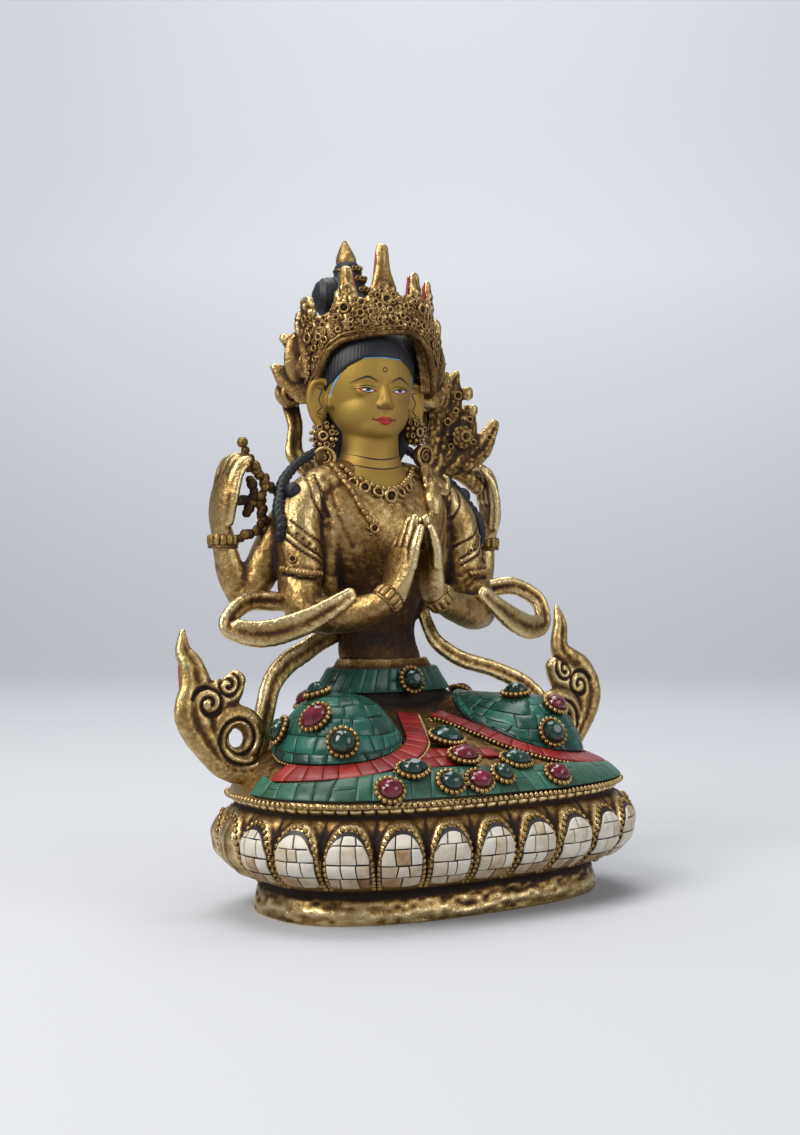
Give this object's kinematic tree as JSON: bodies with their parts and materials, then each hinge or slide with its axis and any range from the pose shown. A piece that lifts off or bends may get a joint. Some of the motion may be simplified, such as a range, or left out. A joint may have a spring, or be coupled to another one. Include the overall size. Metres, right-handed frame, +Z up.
{
  "type": "seated deity statue",
  "caption": "Seated four-armed figure in gilt cast brass on a lotus throne, set with turquoise, coral, bone and faceted stones.",
  "frame": {"origin": "middle of the flat underside of the lotus throne", "axes": "+Z up; the figure faces -Y; its left side is +X"},
  "size_m": [0.1704, 0.1041, 0.2218],
  "materials": {
    "cast_brass": "patinated and partly gilt",
    "cup_brass": "polished bead wire",
    "turquoise": "polished mosaic chips",
    "coral": "polished mosaic chips",
    "bone": "satin mosaic chips",
    "ruby_stone": "faceted and glossy",
    "green_stone": "faceted and glossy"
  },
  "bodies": {
    "root": {"bone_panel_01": "bone", "bone_panel_02": "bone", "bone_panel_03": "bone", "bone_panel_04": "bone", "bone_panel_05": "bone", "bone_panel_06": "bone", "bone_panel_07": "bone", "bone_panel_08": "bone", "bone_panel_09": "bone", "bone_panel_10": "bone", "bone_panel_11": "bone", "bone_panel_12": "bone", "coral_band_left": "coral", "coral_band_right": "coral", "cup_hem_green_left": "cup_brass", "cup_hem_green_middle": "cup_brass", "cup_hem_ruby_drop": "cup_brass", "cup_hem_ruby_left": "cup_brass", "cup_hem_ruby_right": "cup_brass", "cup_hip_left_ruby": "cup_brass", "cup_hip_right_ruby": "cup_brass", "cup_knee_left_green_front": "cup_brass", "cup_knee_left_green_top": "cup_brass", "cup_knee_left_ruby": "cup_brass", "cup_knee_right_green_front": "cup_brass", "cup_knee_right_green_outer": "cup_brass", "cup_knee_right_green_top": "cup_brass", "cup_knee_right_ruby": "cup_brass", "cup_lap_green_drop_left": "cup_brass", "cup_lap_green_drop_right": "cup_brass", "cup_lap_green_large": "cup_brass", "cup_lap_ruby": "cup_brass", "cup_waist_green": "cup_brass", "figure": "cast_brass", "gem_hem_green_left": "green_stone", "gem_hem_green_middle": "green_stone", "gem_hem_ruby_drop": "ruby_stone", "gem_hem_ruby_left": "ruby_stone", "gem_hem_ruby_right": "ruby_stone", "gem_hip_left_ruby": "ruby_stone", "gem_hip_right_ruby": "ruby_stone", "gem_knee_left_green_front": "green_stone", "gem_knee_left_green_top": "green_stone", "gem_knee_left_ruby": "ruby_stone", "gem_knee_right_green_front": "green_stone", "gem_knee_right_green_outer": "green_stone", "gem_knee_right_green_top": "green_stone", "gem_knee_right_ruby": "ruby_stone", "gem_lap_green_drop_left": "green_stone", "gem_lap_green_drop_right": "green_stone", "gem_lap_green_large": "green_stone", "gem_lap_ruby": "ruby_stone", "gem_waist_green": "green_stone", "hem_inlay": "turquoise", "knee_inlay_left": "turquoise", "knee_inlay_right": "turquoise", "lotus_throne": "cast_brass", "waist_inlay": "turquoise"}
  },
  "joints": []
}
